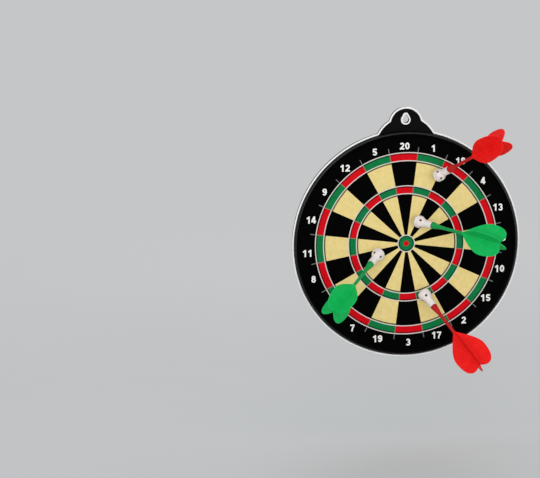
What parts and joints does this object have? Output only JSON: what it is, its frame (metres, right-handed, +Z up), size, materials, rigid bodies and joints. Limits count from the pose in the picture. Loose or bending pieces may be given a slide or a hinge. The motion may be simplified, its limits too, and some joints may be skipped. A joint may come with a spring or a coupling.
{
  "type": "magnetic dartboard",
  "caption": "Round wall-hung magnetic dartboard: moulded black frame with a keyhole tab, printed steel-backed face, loop-fabric back, and vaned magnet darts that pull off.",
  "frame": {"origin": "the nail in the narrow end of the keyhole, on the wall plane behind the tab", "axes": "+Z up, +Y into the wall so that the target faces -Y, +X to the right of someone who faces the target"},
  "size_m": [0.25, 0.1006, 0.281],
  "materials": {
    "black_plastic": "satin moulded black",
    "silver_trim": "bright silver",
    "loop_fabric": "brushed loop pile, printed",
    "core_board": "plain pressed board",
    "tinplate": "plain tinplate",
    "printed_face": "satin print in black, cream, red, green and white",
    "green_plastic": "satin moulded green",
    "red_plastic": "satin moulded red",
    "white_plastic": "milky moulded white",
    "magnet": "dark sintered"
  },
  "bodies": {
    "board": {"rear_frame": "black_plastic", "front_frame": "black_plastic", "edge_trim": "silver_trim", "keyhole_eyelet": "silver_trim", "ball_face": "loop_fabric", "core_board": "core_board", "steel_sheet": "tinplate", "face_sheet": "printed_face"},
    "green_dart_1": {"green_dart_1_flight": "green_plastic", "green_dart_1_holder": "white_plastic", "green_dart_1_magnet": "magnet"},
    "green_dart_2": {"green_dart_2_flight": "green_plastic", "green_dart_2_holder": "white_plastic", "green_dart_2_magnet": "magnet"},
    "red_dart_1": {"red_dart_1_flight": "red_plastic", "red_dart_1_holder": "white_plastic", "red_dart_1_magnet": "magnet"},
    "red_dart_2": {"red_dart_2_flight": "red_plastic", "red_dart_2_holder": "white_plastic", "red_dart_2_magnet": "magnet"}
  },
  "joints": [
    {"name": "green_dart_1_pull", "type": "slide", "parent": "board", "child": "green_dart_1", "axis": [0.7064, -0.6972, -0.122], "range_m": [0, 0.12]},
    {"name": "green_dart_2_pull", "type": "slide", "parent": "board", "child": "green_dart_2", "axis": [-0.5894, -0.6704, -0.4507], "range_m": [0, 0.12]},
    {"name": "red_dart_1_pull", "type": "slide", "parent": "board", "child": "red_dart_1", "axis": [0.5125, -0.7242, 0.4614], "range_m": [0, 0.12]},
    {"name": "red_dart_2_pull", "type": "slide", "parent": "board", "child": "red_dart_2", "axis": [0.4627, -0.6143, -0.6392], "range_m": [0, 0.12]}
  ]
}
